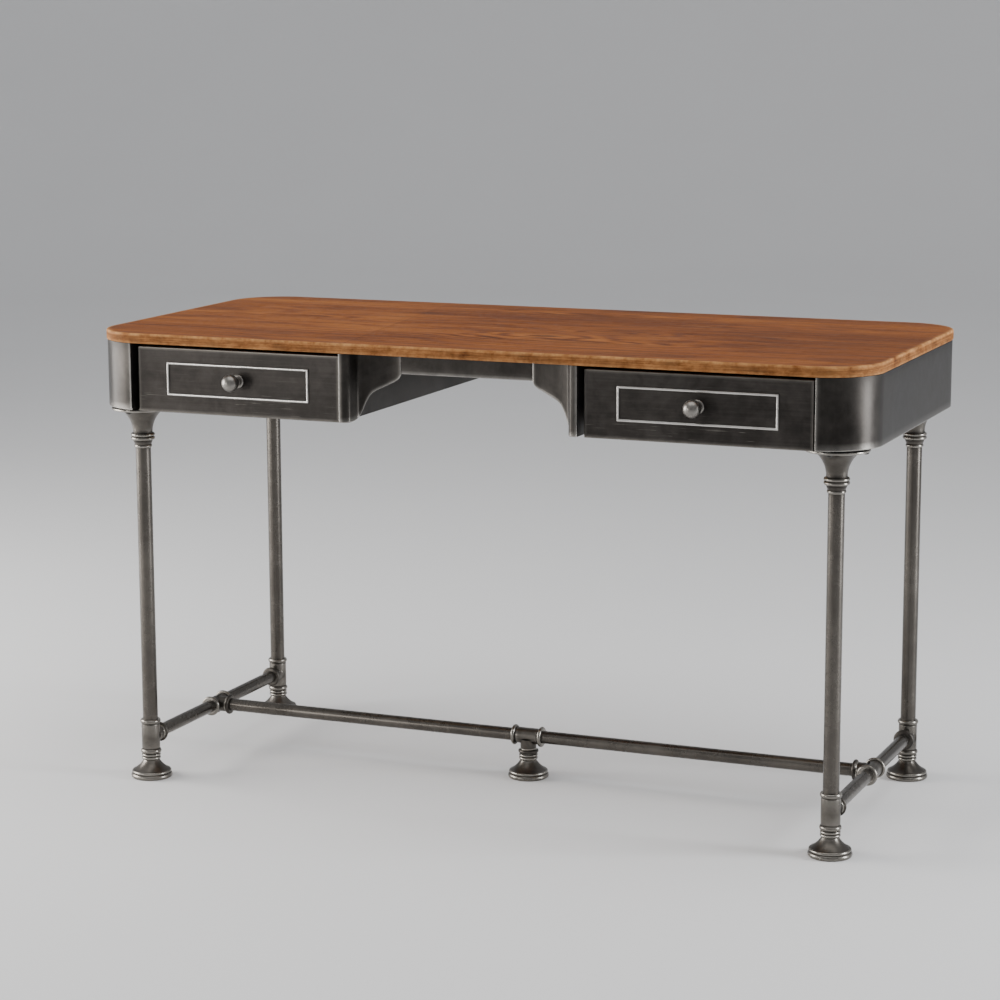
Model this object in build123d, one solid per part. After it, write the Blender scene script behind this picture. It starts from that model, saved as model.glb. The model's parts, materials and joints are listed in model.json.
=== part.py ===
"""Writing desk with a wooden top, a sheet-steel skirt with two drawers, and a pipe-and-fitting base.

Millimetres. X runs along the desk, the drawers open towards -Y, Z is up.
The origin is on the floor under the middle of the desk.
"""
from build123d import *
import math
import os

# ------------------------------------------------------------------ driving dimensions
DESK_LENGTH = 1315.0
DESK_DEPTH = 602.0
DESK_HEIGHT = 762.0
FIT = 0.05                     # radial clearance of a tube or spigot in its socket

# table top
TOP_THICKNESS = 16.5
TOP_CORNER = 92.0
TOP_EASING = 1.5               # rounding of the board's edges

# sheet-steel skirt
SHEET = 2.0
SKIRT_INSET = 1.5              # from the edge of the top to the skirt
SKIRT_HEIGHT = 110.0
END_RETURN_X = 576.0           # where the end skirts stop, front and back
SEAM = 0.3                     # open seam between neighbouring sheets

# knee space
HOUSING_X = 201.0              # inner side of each drawer housing
APRON_HEIGHT = 33.5
APRON_LIP = 10.0
CORBEL_END_X = 111.5           # where a corbel meets the apron
CORBEL_FLAT = 5.0              # flat strip beside the drawer
CORBEL_ROLL = 12.0             # radius of the roll at the drawer's edge
CORBEL_TURN = 74.0             # degrees that the roll turns inwards
CORBEL_WEB = 15.75             # straight part between the roll and the hollow
CORBEL_HOLLOW = 12.0           # radius of the hollow that turns back
CORBEL_EASE = 20.0             # degrees left for the long bend that ends level with the apron
CORBEL_EASE_RADIUS = 168.5
OGEE_FOOT_X = 184.0            # where the corbel's lower edge starts to rise
OGEE = (                       # lower edge, as shares of the way to the apron and of the rise
    (0.0, 0.0), (0.05, 0.035), (0.10, 0.125), (0.155, 0.255), (0.205, 0.385), (0.28, 0.52), (0.345, 0.59),
    (0.45, 0.655), (0.58, 0.712), (0.72, 0.778), (0.865, 0.843), (0.955, 0.908), (1.0, 1.0),
)

# housing panels and gussets
FLANGE = 16.0
FLANGE_START = 258.0           # how far towards front and back the panels' flanges run
GUSSET = 3.0
GUSSET_SIZE = 116.0
GUSSET_NOTCH_Y = 257.0
TOP_SCREW_RADIUS = 2.0
TOP_SCREW_BITE = 11.0
TOP_SCREW_HEAD_RADIUS = 4.2
TOP_SCREW_HEAD_HEIGHT = 2.4
TOP_SCREW_ROWS = (-200.0, 0.0, 200.0)
HEAD_CROWN = 0.6               # flat crown of a screw head, as a share of its radius
HEAD_SHOULDER = (0.9, 0.6)     # shoulder of a screw head, as shares of its radius and height

# legs and pipes
LEG_X = 593.0
LEG_Y = 235.0
LEG_TUBE = 25.4
LEG_WALL = 1.6
RAIL_TUBE = 21.5
RAIL_WALL = 1.5
RAIL_Z = 71.0                  # height of every stretcher's axis
TUBE_STOP = 12.0               # how near a tube comes to the middle of a tee
TEE_RUN = 29.0                 # half length of a tee's run
SMALL_TEE_RUN = 27.0
BRANCH = 29.0
LEG_BRANCH = 31.0
LEG_TEE_RADIUS = 15.3
SMALL_TEE_RADIUS = 13.5
TEE_RING = 17.2
TEE_RING_WIDTH = 6.4
TEE_RING_STEP = 0.4            # plain land outside a tee's ring

# leg collar, from the bottom up
COLLAR_BOTTOM = 564.0
COLLAR_SOCKET_TOP = 620.0
COLLAR_FLANGE_Z = 628.5
COLLAR_FLANGE_THICKNESS = 3.5
COLLAR_FLANGE_RADIUS = 50.0
COLLAR_BOSS_RADIUS = 28.0
COLLAR_PROFILE = (             # (radius, height above the collar's bottom), pairs are arcs
    (13.5, 0.0),
    ((14.7, 2.6), (13.6, 5.2)),
    (16.4, 12.8),
    ((19.9, 15.9), (17.4, 18.8)),
    ((19.9, 21.7), (16.1, 24.6)),
    ((21.3, 47.1), (36.0, 64.5)),
)
FLANGE_EASING = 1.0
SCREW_CIRCLE = 44.0
SCREW_RADIUS = 2.5
SCREW_HEAD_RADIUS = 5.0
SCREW_HEAD_HEIGHT = 2.8

# feet and nipples
FOOT_HEIGHT = 30.0
FOOT_PROFILE = (               # (radius, height), pairs are arcs
    (33.0, 0.0),
    ((34.5, 3.9), (31.9, 8.0)),
    ((33.1, 10.6), (30.6, 13.2)),
)
FOOT_FLARE = (19.9, 21.2)      # a point on the flare from the bead up to the neck
SPIGOT = 9.0                   # lower end of a nipple, in the foot
SPIGOT_BOTTOM = 14.0
NIPPLE_BODY = 13.4
NIPPLE_RINGS = (38.4, 33.2)
NIPPLE_RING_RADIUS = 16.0
NIPPLE_RING_HALF = 2.4
NIPPLE_TOP = 56.0

# drawers
DRAWER_RECESS = 15.0           # from the skirt's face back to the drawer front
DRAWER_GAP = 6.0
DRAWER_BOTTOM = 633.0
DRAWER_FRONT_HEIGHT = 106.5
DRAWER_FRONT = 18.0
DRAWER_FRONT_EASING = 1.0
BOX_DEPTH = 360.0
BOX_WALL = 12.0
BOX_BOTTOM = 5.0
BOX_Z = (645.0, 725.0)
SLIDE_SPACE = 13.0             # between a housing panel and the drawer's side
SLIDE_SHEET = 1.2
SLIDE_LENGTH = 350.0
SLIDE_Z = (670.0, 706.0)
SLIDE_REACH = 10.5
SLIDE_GAP = 0.4
BEAD_LENGTH = 256.0
BEAD_HEIGHT = 55.0
BEAD_RISE = 2.4                # bead frame above the middle of the drawer front
BEAD_WIDTH = 4.2
BEAD_PROUD = 2.4
BEAD_ROUND = 1.1
KNOB_RISE = 1.5                # knob above the middle of the bead frame
KNOB_RADIUS = 14.0
KNOB_CENTRE = 24.0             # ball centre in front of the drawer
KNOB_BASE_RADIUS = 11.5
KNOB_BASE_THICKNESS = 2.5
KNOB_BASE_EDGE = 0.8           # upright edge of the base disc
KNOB_BASE_ROUND = ((1.2, 1.9), 3.5)   # a point on its rounding (in from the edge, height), and where it ends
KNOB_NECK = 6.5
KNOB_WAIST = 4.9
KNOB_SCREW = 2.0
KNOB_SCREW_DEPTH = 12.0
KNOB_SCREW_HEAD = 4.0
KNOB_SCREW_HEAD_HEIGHT = 2.0

# ------------------------------------------------------------------ worked-out places
TOP_UNDERSIDE = DESK_HEIGHT - TOP_THICKNESS
SKIRT_BOTTOM = TOP_UNDERSIDE - SKIRT_HEIGHT
SKIRT_LENGTH = DESK_LENGTH - 2 * SKIRT_INSET
SKIRT_DEPTH = DESK_DEPTH - 2 * SKIRT_INSET
SKIRT_CORNER = TOP_CORNER - SKIRT_INSET
FACE_Y = SKIRT_DEPTH / 2                       # front and back faces of the skirt
APRON_SETBACK = (
    CORBEL_ROLL * (1 - math.cos(math.radians(CORBEL_TURN)))
    + CORBEL_WEB * math.sin(math.radians(CORBEL_TURN))
    + CORBEL_HOLLOW * (math.cos(math.radians(CORBEL_EASE)) - math.cos(math.radians(CORBEL_TURN)))
    + CORBEL_EASE_RADIUS * (1 - math.cos(math.radians(CORBEL_EASE)))
)
APRON_Y = -FACE_Y + APRON_SETBACK
APRON_BOTTOM = TOP_UNDERSIDE - APRON_HEIGHT
DRAWER_Y = -FACE_Y + DRAWER_RECESS             # face of the drawer fronts
DRAWER_X0 = HOUSING_X + DRAWER_GAP
DRAWER_X1 = END_RETURN_X - DRAWER_GAP
DRAWER_MID_X = (DRAWER_X0 + DRAWER_X1) / 2
BOX_X0 = HOUSING_X + SLIDE_SPACE
BOX_X1 = END_RETURN_X - SLIDE_SPACE
BOX_Y0 = DRAWER_Y + DRAWER_FRONT
BOX_Y1 = BOX_Y0 + BOX_DEPTH
BEAD_MID_Z = DRAWER_BOTTOM + DRAWER_FRONT_HEIGHT / 2 + BEAD_RISE
KNOB_Z = BEAD_MID_Z + KNOB_RISE
LEG_SOCKET = LEG_TUBE / 2 + FIT
RAIL_SOCKET = RAIL_TUBE / 2 + FIT
TEE_BOTTOM = RAIL_Z - TEE_RUN

CORNERS = {
    "front_left": (-1, -1),
    "front_right": (1, -1),
    "back_left": (-1, 1),
    "back_right": (1, 1),
}
SIDES = {"left": -1, "right": 1}


# ------------------------------------------------------------------ helpers
def block(x_pair, y_pair, z_pair):
    """A rectangular solid between two corners, given as a pair of values on each axis."""
    pairs = [sorted(pair) for pair in (x_pair, y_pair, z_pair)]
    sizes = [high - low for low, high in pairs]
    middle = [(high + low) / 2 for low, high in pairs]
    return Pos(*middle) * Box(*sizes)


def turned(start, *moves):
    """Solid turned about Z from a half profile of (radius, height) points.

    A move is one point for a straight run, or a pair of points for an arc through the first.
    """
    edges = []
    here = start
    for move in moves:
        if isinstance(move[0], tuple):
            edges.append(ThreePointArc(here, move[0], move[1]))
            here = move[1]
        else:
            edges.append(Line(here, move))
            here = move
    edges.append(Line(here, start))
    return revolve(Plane.XZ * make_face(edges), Axis.Z)


def rod(start, end, radius):
    """Round rod between two points."""
    axis = Vector(*end) - Vector(*start)
    plane = Plane(origin=start, z_dir=axis)
    return extrude(plane * Circle(radius), amount=axis.length)


def pipe(start, end, diameter, wall):
    """Tube between two points."""
    return rod(start, end, diameter / 2) - rod(start, end, diameter / 2 - wall)


def ring_profile(radius, low, high, crown):
    """Three points of a round bead that stands on a radius between two heights."""
    middle = (low + high) / 2
    return (radius, low), ((crown, middle), (radius, high))


def on_side(shape, side):
    """The right-hand shape itself, or its mirror image for the left."""
    return shape if side > 0 else mirror(shape, Plane.YZ)


# ------------------------------------------------------------------ top and skirt
def table_top():
    board = extrude(RectangleRounded(DESK_LENGTH, DESK_DEPTH, TOP_CORNER), amount=TOP_THICKNESS)
    board = Pos(0, 0, TOP_UNDERSIDE) * board
    rims = board.edges().group_by(Axis.Z)
    board = fillet(rims[0] + rims[-1], TOP_EASING)
    for x, y in top_screw_places():
        board -= rod((x, y, TOP_UNDERSIDE), (x, y, TOP_UNDERSIDE + TOP_SCREW_BITE), TOP_SCREW_RADIUS + FIT)
    return board


def skirt_band():
    """The whole skirt as one closed band, from which the end skirts are cut."""
    outer = RectangleRounded(SKIRT_LENGTH, SKIRT_DEPTH, SKIRT_CORNER)
    inner = RectangleRounded(SKIRT_LENGTH - 2 * SHEET, SKIRT_DEPTH - 2 * SHEET, SKIRT_CORNER - SHEET)
    return Pos(0, 0, SKIRT_BOTTOM) * extrude(outer - inner, amount=SKIRT_HEIGHT)


def end_skirt(side):
    keep = block((END_RETURN_X, DESK_LENGTH), (-DESK_DEPTH, DESK_DEPTH), (0, DESK_HEIGHT))
    return on_side(skirt_band() & keep, side)


def back_skirt():
    reach = END_RETURN_X - SEAM
    return block((-reach, reach), (FACE_Y - SHEET, FACE_Y), (SKIRT_BOTTOM, TOP_UNDERSIDE))


def front_apron():
    reach = CORBEL_END_X - SEAM
    face = block((-reach, reach), (APRON_Y, APRON_Y + SHEET), (APRON_BOTTOM, TOP_UNDERSIDE))
    lip = block((-reach, reach), (APRON_Y, APRON_Y + APRON_LIP), (APRON_BOTTOM, APRON_BOTTOM + SHEET))
    return face + lip


def corbel_plan():
    """Strip in plan: a flat, a roll that turns inwards, a web, and a hollow and a long bend that turn back.

    Both faces share the arc centres, so the sheet keeps its thickness.
    """
    def face(depth):
        flat = Line((HOUSING_X, -FACE_Y + depth), (HOUSING_X - CORBEL_FLAT, -FACE_Y + depth))
        roll = JernArc(flat @ 1, flat % 1, CORBEL_ROLL - depth, -CORBEL_TURN)
        web = Line(roll @ 1, roll @ 1 + (roll % 1) * CORBEL_WEB)
        hollow = JernArc(web @ 1, web % 1, CORBEL_HOLLOW + depth, CORBEL_TURN - CORBEL_EASE)
        ease = JernArc(hollow @ 1, hollow % 1, CORBEL_EASE_RADIUS + depth, CORBEL_EASE)
        last = Line(ease @ 1, (CORBEL_END_X, APRON_Y + depth))
        return [flat, roll, web, hollow, ease, last]

    front, rear = face(0), face(SHEET)
    caps = [Line(front[0] @ 0, rear[0] @ 0), Line(front[-1] @ 1, rear[-1] @ 1)]
    return make_face(front + rear + caps)


def corbel(side):
    """The corbel's strip, with everything below its ogee edge cut away."""
    sheet = Pos(0, 0, SKIRT_BOTTOM) * extrude(corbel_plan(), amount=SKIRT_HEIGHT)
    rise = APRON_BOTTOM - SKIRT_BOTTOM
    span = OGEE_FOOT_X - CORBEL_END_X
    points = [(OGEE_FOOT_X - span * along, SKIRT_BOTTOM + rise * up) for along, up in OGEE]
    edge = Spline(points)
    closing = Polyline(points[-1], (0, APRON_BOTTOM), (0, 0), (OGEE_FOOT_X, 0), points[0])
    below = extrude(Plane.XZ * make_face([edge] + list(closing.edges())), amount=DESK_DEPTH)
    return on_side(sheet - below, side)


# ------------------------------------------------------------------ housings and gussets
def top_screw_places():
    """Where screws go up through the housing panels' flanges into the top."""
    columns = (HOUSING_X - SHEET - FLANGE / 2, END_RETURN_X + SHEET + FLANGE / 2)
    return [(side * x, y) for side in SIDES.values() for x in columns for y in TOP_SCREW_ROWS]


def housing_panel(x_pair, flange_pair, bottom, reach, side):
    """Upright sheet from front to back, with a flange under the top."""
    sheet = block(x_pair, (-reach, reach), (bottom, TOP_UNDERSIDE))
    flange = block(flange_pair, (-FLANGE_START, FLANGE_START), (TOP_UNDERSIDE - SHEET, TOP_UNDERSIDE))
    panel = on_side(sheet + flange, side)
    for x, y in top_screw_places():
        panel -= rod((x, y, TOP_UNDERSIDE - SHEET), (x, y, TOP_UNDERSIDE), TOP_SCREW_RADIUS + FIT)
    return panel


def inner_panel(side):
    face = HOUSING_X - SHEET
    return housing_panel((face, HOUSING_X), (face - FLANGE, face), SKIRT_BOTTOM, FACE_Y - SHEET, side)


def outer_panel(side):
    face = END_RETURN_X + SHEET
    reach = FACE_Y - 2 * SHEET
    return housing_panel((END_RETURN_X, face), (face, face + FLANGE), SKIRT_BOTTOM + GUSSET, reach, side)


def leg_screw_places(x, y):
    """Four places on the flange's screw circle, in line with the desk's sides."""
    offsets = ((1, 0), (0, 1), (-1, 0), (0, -1))
    return [(x + SCREW_CIRCLE * a, y + SCREW_CIRCLE * b) for a, b in offsets]


def corner_gussets():
    """Four plates inside the skirt's corners, notched beside the drawer fronts."""
    inside = RectangleRounded(SKIRT_LENGTH - 2 * SHEET, SKIRT_DEPTH - 2 * SHEET, SKIRT_CORNER - SHEET)
    plate = Pos(0, 0, SKIRT_BOTTOM) * extrude(inside, amount=GUSSET)
    x_end = SKIRT_LENGTH / 2 - SHEET
    y_end = FACE_Y - SHEET
    heights = (0, DESK_HEIGHT)
    plate &= block((x_end - GUSSET_SIZE, x_end), (y_end - GUSSET_SIZE, y_end), heights)
    plate -= block((0, END_RETURN_X), (GUSSET_NOTCH_Y, DESK_DEPTH), heights)
    for x, y in leg_screw_places(LEG_X, LEG_Y):
        plate -= rod((x, y, 0), (x, y, DESK_HEIGHT), SCREW_RADIUS + FIT)
    right = [plate, mirror(plate, Plane.XZ)]
    return Compound(right + [mirror(one, Plane.YZ) for one in right])


def fastener(x, y, seat, length, radius, head_radius, head_height):
    """Round-headed screw driven upwards, with its head below the seat."""
    bottom = seat - head_height
    across, down = HEAD_SHOULDER
    head = turned(
        (0, bottom),
        (head_radius * HEAD_CROWN, bottom),
        ((head_radius * across, seat - down * head_height), (head_radius, seat)),
        (radius, seat),
        (radius, seat + length),
        (0, seat + length),
    )
    return Pos(x, y, 0) * head


def leg_screws():
    length = SKIRT_BOTTOM + GUSSET - COLLAR_FLANGE_Z + SCREW_RADIUS
    head = (SCREW_HEAD_RADIUS, SCREW_HEAD_HEIGHT)
    places = []
    for sx, sy in CORNERS.values():
        places += leg_screw_places(sx * LEG_X, sy * LEG_Y)
    return Compound([fastener(x, y, COLLAR_FLANGE_Z, length, SCREW_RADIUS, *head) for x, y in places])


def top_screws():
    seat = TOP_UNDERSIDE - SHEET
    head = (TOP_SCREW_HEAD_RADIUS, TOP_SCREW_HEAD_HEIGHT)
    length = SHEET + TOP_SCREW_BITE - FIT
    return Compound([fastener(x, y, seat, length, TOP_SCREW_RADIUS, *head) for x, y in top_screw_places()])


# ------------------------------------------------------------------ pipe base
def raised(profile, height):
    """A half profile's moves, lifted by a height."""
    moves = []
    for move in profile:
        if isinstance(move[0], tuple):
            moves.append(tuple((radius, z + height) for radius, z in move))
        else:
            moves.append((move[0], move[1] + height))
    return moves


def leg_collar(x, y):
    """Flared collar: a small ring, a cone, two beads, a trumpet and the screwed flange."""
    flange_top = COLLAR_FLANGE_Z + COLLAR_FLANGE_THICKNESS
    body = turned(
        (LEG_SOCKET, COLLAR_BOTTOM),
        *raised(COLLAR_PROFILE, COLLAR_BOTTOM),
        (COLLAR_FLANGE_RADIUS - FLANGE_EASING, COLLAR_FLANGE_Z),
        (COLLAR_FLANGE_RADIUS, COLLAR_FLANGE_Z + FLANGE_EASING),
        (COLLAR_FLANGE_RADIUS, flange_top),
        (COLLAR_BOSS_RADIUS, flange_top),
        (COLLAR_BOSS_RADIUS, SKIRT_BOTTOM),
        (0, SKIRT_BOTTOM),
        (0, COLLAR_SOCKET_TOP),
        (LEG_SOCKET, COLLAR_SOCKET_TOP),
    )
    body = Pos(x, y, 0) * body
    for sx, sy in leg_screw_places(x, y):
        body -= rod((sx, sy, COLLAR_FLANGE_Z - SHEET), (sx, sy, SKIRT_BOTTOM), SCREW_RADIUS + FIT)
    return body


def leg_tube(x, y):
    return pipe((x, y, RAIL_Z + TUBE_STOP), (x, y, COLLAR_SOCKET_TOP), LEG_TUBE, LEG_WALL)


def ringed_barrel(radius, low, high, both_ends):
    """Solid barrel along Z with a beaded ring at its top, and at its bottom too where asked."""
    width = TEE_RING_WIDTH
    top_start, top_arc = ring_profile(radius, high - width, high - TEE_RING_STEP, TEE_RING)
    moves = []
    if both_ends:
        low_start, low_arc = ring_profile(radius, low + TEE_RING_STEP, low + width, TEE_RING)
        moves += [(radius, low), low_start, low_arc]
    else:
        moves.append((radius, low))
    moves += [top_start, top_arc, (radius, high), (0, high)]
    return turned((0, low), *moves)


def tee(run_radius, run_half, run_bore, branch_length, branch_bore):
    """Pipe tee: run along Z, branch along +X, bored right through."""
    run = ringed_barrel(run_radius, -run_half, run_half, True)
    branch = Rot(0, 90, 0) * ringed_barrel(SMALL_TEE_RADIUS, 0, branch_length, False)
    fitting = run + branch
    fitting -= rod((0, 0, -run_half), (0, 0, run_half), run_bore)
    return fitting - rod((0, 0, 0), (branch_length, 0, 0), branch_bore)


def leg_tee(x, y):
    facing = -90 if y > 0 else 90
    fitting = tee(LEG_TEE_RADIUS, TEE_RUN, LEG_SOCKET, LEG_BRANCH, RAIL_SOCKET)
    return Pos(x, y, RAIL_Z) * Rot(0, 0, facing) * fitting


def small_tee():
    return tee(SMALL_TEE_RADIUS, SMALL_TEE_RUN, RAIL_SOCKET, BRANCH, RAIL_SOCKET)


def middle_tee(side):
    """Tee in the middle of an end stretcher, with its branch towards the desk's centre."""
    facing = 180 if side > 0 else 0
    return Pos(side * LEG_X, 0, RAIL_Z) * Rot(0, 0, facing) * Rot(90, 0, 0) * small_tee()


def centre_tee():
    return Pos(0, 0, RAIL_Z) * Rot(0, 90, 0) * small_tee()


def end_stretcher(sx, sy):
    far = LEG_Y - LEG_SOCKET - FIT
    return pipe((sx * LEG_X, sy * TUBE_STOP, RAIL_Z), (sx * LEG_X, sy * far, RAIL_Z), RAIL_TUBE, RAIL_WALL)


def long_stretcher(side):
    far = LEG_X - TUBE_STOP
    return pipe((side * TUBE_STOP, 0, RAIL_Z), (side * far, 0, RAIL_Z), RAIL_TUBE, RAIL_WALL)


def nipple(x, y, socket):
    """Nipple between a tee and a foot: a spigot at each end and two beads between."""
    top = socket - FIT
    moves = [(SPIGOT, SPIGOT_BOTTOM), (SPIGOT, FOOT_HEIGHT), (NIPPLE_BODY, FOOT_HEIGHT)]
    for middle in sorted(NIPPLE_RINGS):
        ends = (middle - NIPPLE_RING_HALF, middle + NIPPLE_RING_HALF)
        start, arc = ring_profile(NIPPLE_BODY, *ends, NIPPLE_RING_RADIUS)
        moves += [start, arc]
    moves += [(NIPPLE_BODY, TEE_BOTTOM), (top, TEE_BOTTOM), (top, NIPPLE_TOP), (0, NIPPLE_TOP)]
    return Pos(x, y, 0) * turned((0, SPIGOT_BOTTOM), *moves)


def foot_nipples():
    legs = [nipple(sx * LEG_X, sy * LEG_Y, LEG_SOCKET) for sx, sy in CORNERS.values()]
    return Compound(legs + [nipple(0, 0, RAIL_SOCKET)])


def foot(x, y):
    """Bell foot with a flat underside: a round rim, a groove, a bead and a flare up to the neck."""
    bell = turned(
        (0, 0),
        *FOOT_PROFILE,
        (FOOT_FLARE, (NIPPLE_BODY, FOOT_HEIGHT)),
        (SPIGOT + FIT, FOOT_HEIGHT),
        (SPIGOT + FIT, SPIGOT_BOTTOM - 1),
        (0, SPIGOT_BOTTOM - 1),
    )
    return Pos(x, y, 0) * bell


# ------------------------------------------------------------------ drawers, built on the right
def knob_hole(solid, radius):
    """Cut the knob screw's hole through a right-hand drawer piece."""
    start = (DRAWER_MID_X, DRAWER_Y - KNOB_SCREW_DEPTH - FIT, KNOB_Z)
    return solid - rod(start, (DRAWER_MID_X, BOX_Y0, KNOB_Z), radius)


def drawer_front():
    board = block(
        (DRAWER_X0, DRAWER_X1),
        (DRAWER_Y, BOX_Y0),
        (DRAWER_BOTTOM, DRAWER_BOTTOM + DRAWER_FRONT_HEIGHT),
    )
    face_edges = board.edges().group_by(Axis.Y)[0]
    return knob_hole(fillet(face_edges, DRAWER_FRONT_EASING), KNOB_SCREW + FIT)


def bead_frame():
    """Raised bead round the middle of a drawer front."""
    inner = Rectangle(BEAD_LENGTH - 2 * BEAD_WIDTH, BEAD_HEIGHT - 2 * BEAD_WIDTH)
    ring = extrude(Rectangle(BEAD_LENGTH, BEAD_HEIGHT) - inner, amount=BEAD_PROUD)
    ring = fillet(ring.edges().group_by(Axis.Z)[-1], BEAD_ROUND)
    return Pos(DRAWER_MID_X, DRAWER_Y, BEAD_MID_Z) * Rot(90, 0, 0) * ring


def drawer_side(x_outer, direction):
    return block((x_outer, x_outer + direction * BOX_WALL), (BOX_Y0, BOX_Y1), BOX_Z)


def drawer_back():
    inside = (BOX_X0 + BOX_WALL, BOX_X1 - BOX_WALL)
    return block(inside, (BOX_Y1 - BOX_WALL, BOX_Y1), (BOX_Z[0] + BOX_BOTTOM, BOX_Z[1]))


def drawer_bottom():
    inside = (BOX_X0 + BOX_WALL, BOX_X1 - BOX_WALL)
    return block(inside, (BOX_Y0, BOX_Y1), (BOX_Z[0], BOX_Z[0] + BOX_BOTTOM))


def channel(x_web, direction, reach, z_pair):
    """C-shaped slide member: an upright web and two flanges that reach sideways from it."""
    y_pair = (BOX_Y0 + SHEET, BOX_Y0 + SHEET + SLIDE_LENGTH)
    low, high = z_pair
    tip = x_web + direction * reach
    web = block((x_web, x_web + direction * SLIDE_SHEET), y_pair, z_pair)
    lower = block((x_web, tip), y_pair, (low, low + SLIDE_SHEET))
    upper = block((x_web, tip), y_pair, (high - SLIDE_SHEET, high))
    return web + lower + upper


def rail_pair():
    """The two fixed channels of one housing."""
    return [channel(HOUSING_X, 1, SLIDE_REACH, SLIDE_Z), channel(END_RETURN_X, -1, SLIDE_REACH, SLIDE_Z)]


def drawer_rails():
    right = rail_pair()
    return Compound(right + [mirror(one, Plane.YZ) for one in right])


def runner_pair():
    """The two channels on a drawer's sides, nested in the fixed ones."""
    margin = SLIDE_SHEET + SLIDE_GAP
    z_pair = (SLIDE_Z[0] + margin, SLIDE_Z[1] - margin)
    return Compound([channel(BOX_X0, -1, SLIDE_REACH, z_pair), channel(BOX_X1, 1, SLIDE_REACH, z_pair)])


def facing_front(solid):
    """Place a solid turned about Z so that its height runs out from the drawer's face."""
    return Pos(DRAWER_MID_X, DRAWER_Y, KNOB_Z) * Rot(90, 0, 0) * solid


def knob():
    """Ball knob on a waisted neck, turned in one piece with its base disc."""
    seat = KNOB_BASE_THICKNESS
    meet = KNOB_CENTRE - math.sqrt(KNOB_RADIUS ** 2 - KNOB_NECK ** 2)
    (inset, height), inner = KNOB_BASE_ROUND
    ball = turned(
        (0, 0),
        (KNOB_BASE_RADIUS, 0),
        (KNOB_BASE_RADIUS, KNOB_BASE_EDGE),
        ((KNOB_BASE_RADIUS - inset, height), (KNOB_BASE_RADIUS - inner, seat)),
        (KNOB_NECK, seat),
        ((KNOB_WAIST, (seat + meet) / 2), (KNOB_NECK, meet)),
        ((KNOB_RADIUS, KNOB_CENTRE), (0, KNOB_CENTRE + KNOB_RADIUS)),
    )
    return knob_hole(facing_front(ball), KNOB_SCREW + FIT)


def knob_screw():
    shank = rod((DRAWER_MID_X, BOX_Y0, KNOB_Z), (DRAWER_MID_X, DRAWER_Y - KNOB_SCREW_DEPTH, KNOB_Z), KNOB_SCREW)
    seat = (DRAWER_MID_X, BOX_Y0, KNOB_Z)
    head = rod(seat, (DRAWER_MID_X, BOX_Y0 + KNOB_SCREW_HEAD_HEIGHT, KNOB_Z), KNOB_SCREW_HEAD)
    return shank + head


def drawer_nodes():
    """Every piece of a right-hand drawer, by name."""
    return {
        "front": drawer_front(),
        "bead_frame": bead_frame(),
        "side_inner": drawer_side(BOX_X0, 1),
        "side_outer": drawer_side(BOX_X1, -1),
        "back": drawer_back(),
        "bottom": drawer_bottom(),
        "runners": runner_pair(),
        "knob": knob(),
        "knob_screw": knob_screw(),
    }


# ------------------------------------------------------------------ all nodes
def all_nodes():
    nodes = {
        "table_top": table_top(),
        "back_skirt": back_skirt(),
        "front_apron": front_apron(),
        "corner_gussets": corner_gussets(),
        "drawer_rails": drawer_rails(),
        "leg_screws": leg_screws(),
        "top_screws": top_screws(),
        "centre_tee": centre_tee(),
        "foot_nipples": foot_nipples(),
        "foot_centre": foot(0, 0),
    }
    for name, side in SIDES.items():
        nodes[f"end_skirt_{name}"] = end_skirt(side)
        nodes[f"corbel_{name}"] = corbel(side)
        nodes[f"housing_inner_{name}"] = inner_panel(side)
        nodes[f"housing_outer_{name}"] = outer_panel(side)
        nodes[f"middle_tee_{name}"] = middle_tee(side)
        nodes[f"long_stretcher_{name}"] = long_stretcher(side)
        for piece, solid in drawer_nodes().items():
            nodes[f"drawer_{name}_{piece}"] = on_side(solid, side)
    for name, (sx, sy) in CORNERS.items():
        nodes[f"leg_collar_{name}"] = leg_collar(sx * LEG_X, sy * LEG_Y)
        nodes[f"leg_tube_{name}"] = leg_tube(sx * LEG_X, sy * LEG_Y)
        nodes[f"leg_tee_{name}"] = leg_tee(sx * LEG_X, sy * LEG_Y)
        nodes[f"foot_{name}"] = foot(sx * LEG_X, sy * LEG_Y)
        nodes[f"end_stretcher_{name}"] = end_stretcher(sx, sy)
    return nodes


os.makedirs("parts", exist_ok=True)
for node_name, node_shape in all_nodes().items():
    export_step(node_shape, f"parts/{node_name}.step")
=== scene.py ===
"""Looks of the writing desk: detailed pieces and finishes on the fixed CAD frame, in metres."""
import json
import math

import bmesh
import bpy
import numpy as np
from mathutils import Euler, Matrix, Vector


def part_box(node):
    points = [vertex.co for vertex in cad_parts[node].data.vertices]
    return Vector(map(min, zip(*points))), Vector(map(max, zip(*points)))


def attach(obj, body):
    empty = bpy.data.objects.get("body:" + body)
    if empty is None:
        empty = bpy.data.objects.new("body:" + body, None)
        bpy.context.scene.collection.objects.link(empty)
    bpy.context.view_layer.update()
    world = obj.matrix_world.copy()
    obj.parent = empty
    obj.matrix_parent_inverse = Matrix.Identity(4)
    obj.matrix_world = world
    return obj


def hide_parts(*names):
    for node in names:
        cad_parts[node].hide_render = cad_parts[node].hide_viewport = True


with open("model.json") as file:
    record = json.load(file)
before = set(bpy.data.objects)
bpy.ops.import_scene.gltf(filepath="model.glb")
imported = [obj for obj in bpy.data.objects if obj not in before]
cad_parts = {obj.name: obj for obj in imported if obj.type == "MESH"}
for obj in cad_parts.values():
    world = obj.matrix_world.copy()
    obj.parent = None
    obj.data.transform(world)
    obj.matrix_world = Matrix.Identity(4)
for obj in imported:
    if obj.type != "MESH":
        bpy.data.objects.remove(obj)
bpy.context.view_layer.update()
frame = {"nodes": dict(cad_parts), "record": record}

MM = 0.001
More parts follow.
